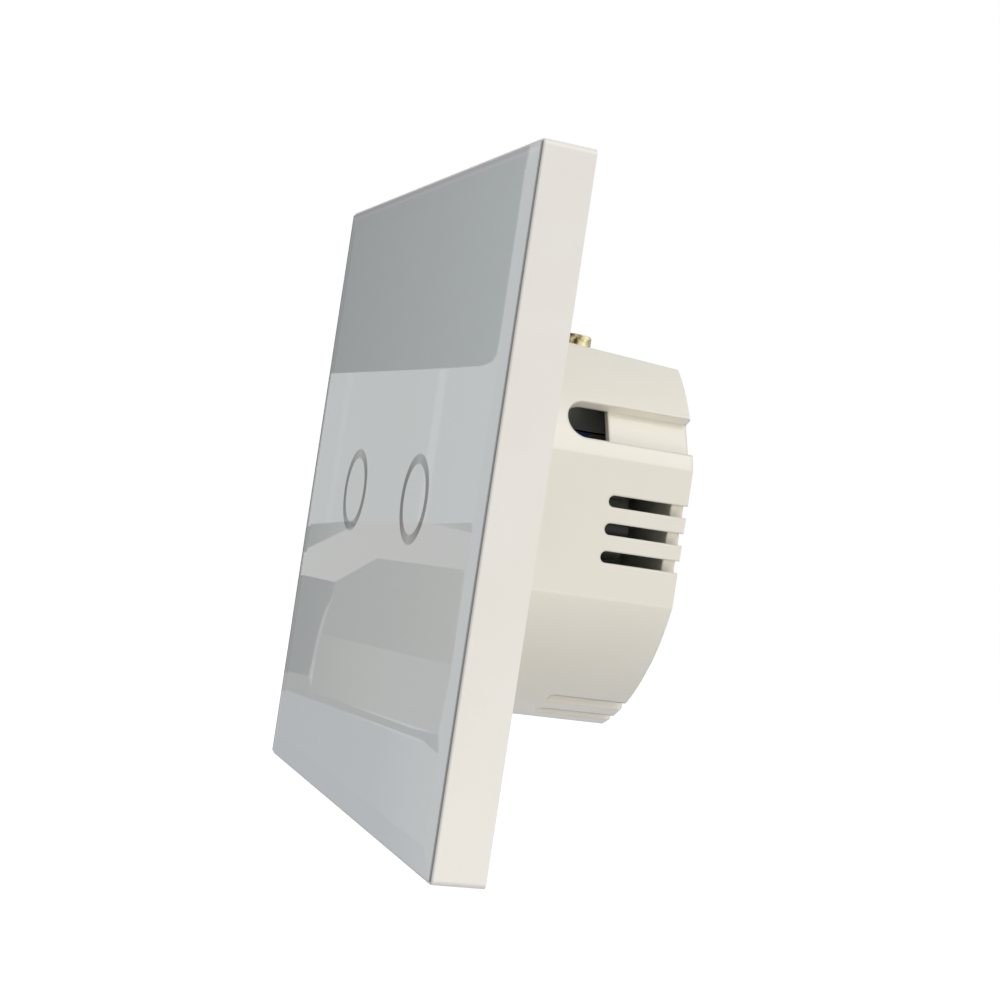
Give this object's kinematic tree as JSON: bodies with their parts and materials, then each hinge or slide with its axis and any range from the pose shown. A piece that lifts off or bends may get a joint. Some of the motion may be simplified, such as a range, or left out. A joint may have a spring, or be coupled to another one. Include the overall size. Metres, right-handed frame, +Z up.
{
  "type": "touch light switch",
  "caption": "Square glass touch light switch with two ring marks, a thin frame and a round vented housing for a wall box, with brass screw terminals.",
  "frame": {"origin": "middle of the wall plane, between the wall box screws", "axes": "+Z up, +X across the front, +Y into the wall; the glass faces -Y"},
  "size_m": [0.086, 0.0324, 0.086],
  "materials": {
    "clear_glass": "polished",
    "white_coat": "even coat behind glass",
    "ring_print": "translucent print",
    "tape": "foam tape",
    "white_plastic": "fine moulded",
    "cream_plastic": "fine moulded",
    "zinc_steel": "zinc plated",
    "board_white": "white solder mask",
    "board_green": "green solder mask",
    "board_blue": "blue solder mask",
    "light_guide": "clear acrylic",
    "spring_steel": "nickel plated",
    "led_lens": "clear lens",
    "chip_black": "moulded",
    "shield_tin": "tinned",
    "nylon": "moulded",
    "terminal_plastic": "moulded",
    "brass": "turned",
    "sleeve_grey": "printed sleeve without print",
    "ferrite": "sintered",
    "winding_tape": "taped winding",
    "film_yellow": "moulded box",
    "fuse_green": "lacquered",
    "varistor_blue": "dipped epoxy",
    "relay_blue": "moulded",
    "copper": "enamelled wire",
    "contact_bronze": "rolled"
  },
  "bodies": {
    "base": {"rear_housing": "cream_plastic", "housing_flange": "cream_plastic", "steel_bracket": "zinc_steel", "bracket_rivets": "zinc_steel", "touch_board": "board_white", "power_board": "board_green", "ring_light_left": "light_guide", "ring_light_right": "light_guide", "touch_spring_left": "spring_steel", "touch_spring_right": "spring_steel", "indicator_leds": "led_lens", "touch_chip": "chip_black", "radio_board": "board_blue", "radio_shield": "shield_tin", "board_spacers": "nylon", "board_screws": "zinc_steel", "pin_header": "chip_black", "pin_socket": "chip_black", "terminal_block": "terminal_plastic", "terminal_cages": "brass", "main_capacitor": "sleeve_grey", "output_capacitor": "sleeve_grey", "transformer_core": "ferrite", "transformer_winding": "winding_tape", "film_capacitor": "film_yellow", "fuse": "fuse_green", "varistor": "varistor_blue", "rectifier": "chip_black", "power_chip": "chip_black", "relay_case_left": "relay_blue", "relay_base_left": "chip_black", "relay_coil_left": "copper", "relay_yoke_left": "zinc_steel", "relay_fixed_contact_left": "contact_bronze", "relay_case_right": "relay_blue", "relay_base_right": "chip_black", "relay_coil_right": "copper", "relay_yoke_right": "zinc_steel", "relay_fixed_contact_right": "contact_bronze"},
    "front_panel": {"glass_panel": "clear_glass", "glass_back_paint": "white_coat", "ring_window_left": "ring_print", "ring_window_right": "ring_print", "glass_tape": "tape", "bezel_frame": "white_plastic"},
    "clamp_1": {"clamp_plate_1": "zinc_steel"},
    "screw_1": {"terminal_screw_1": "brass"},
    "clamp_2": {"clamp_plate_2": "zinc_steel"},
    "screw_2": {"terminal_screw_2": "brass"},
    "clamp_3": {"clamp_plate_3": "zinc_steel"},
    "screw_3": {"terminal_screw_3": "brass"},
    "clamp_4": {"clamp_plate_4": "zinc_steel"},
    "screw_4": {"terminal_screw_4": "brass"},
    "armature_left": {"relay_armature_left": "zinc_steel", "relay_contact_spring_left": "contact_bronze"},
    "armature_right": {"relay_armature_right": "zinc_steel", "relay_contact_spring_right": "contact_bronze"}
  },
  "joints": [
    {"name": "panel_pull", "type": "slide", "parent": "base", "child": "front_panel", "axis": [0, -1, 0], "range_m": [0, 0.012]},
    {"name": "clamp_1_travel", "type": "slide", "parent": "base", "child": "clamp_1", "axis": [0, 0, 1], "range_m": [-0.0029, 0]},
    {"name": "screw_1_turn", "type": "hinge", "parent": "clamp_1", "child": "screw_1", "pos_m": [-0.012, 0.0119, 0.02], "axis": [0, 0, 1], "range_deg": [-1740.1, 0]},
    {"name": "clamp_2_travel", "type": "slide", "parent": "base", "child": "clamp_2", "axis": [0, 0, 1], "range_m": [-0.0029, 0]},
    {"name": "screw_2_turn", "type": "hinge", "parent": "clamp_2", "child": "screw_2", "pos_m": [-0.004, 0.0119, 0.02], "axis": [0, 0, 1], "range_deg": [-1740.1, 0]},
    {"name": "clamp_3_travel", "type": "slide", "parent": "base", "child": "clamp_3", "axis": [0, 0, 1], "range_m": [-0.0029, 0]},
    {"name": "screw_3_turn", "type": "hinge", "parent": "clamp_3", "child": "screw_3", "pos_m": [0.004, 0.0119, 0.02], "axis": [0, 0, 1], "range_deg": [-1740.1, 0]},
    {"name": "clamp_4_travel", "type": "slide", "parent": "base", "child": "clamp_4", "axis": [0, 0, 1], "range_m": [-0.0029, 0]},
    {"name": "screw_4_turn", "type": "hinge", "parent": "clamp_4", "child": "screw_4", "pos_m": [0.012, 0.0119, 0.02], "axis": [0, 0, 1], "range_deg": [-1740.1, 0]},
    {"name": "armature_left_pull", "type": "hinge", "parent": "base", "child": "armature_left", "pos_m": [-0.00805, 0.01865, 0.00715], "axis": [-1, 0, 0], "range_deg": [0, 3], "stiffness_Nm_per_rad": 0.001, "springref_deg": -8.59},
    {"name": "armature_right_pull", "type": "hinge", "parent": "base", "child": "armature_right", "pos_m": [0.00805, 0.01865, 0.00715], "axis": [-1, 0, 0], "range_deg": [0, 3], "stiffness_Nm_per_rad": 0.001, "springref_deg": -8.59}
  ],
  "couplings": [
    {"joint": "screw_1_turn", "follows": "clamp_1_travel", "rad_per_m": 10472},
    {"joint": "screw_2_turn", "follows": "clamp_2_travel", "rad_per_m": 10472},
    {"joint": "screw_3_turn", "follows": "clamp_3_travel", "rad_per_m": 10472},
    {"joint": "screw_4_turn", "follows": "clamp_4_travel", "rad_per_m": 10472}
  ]
}
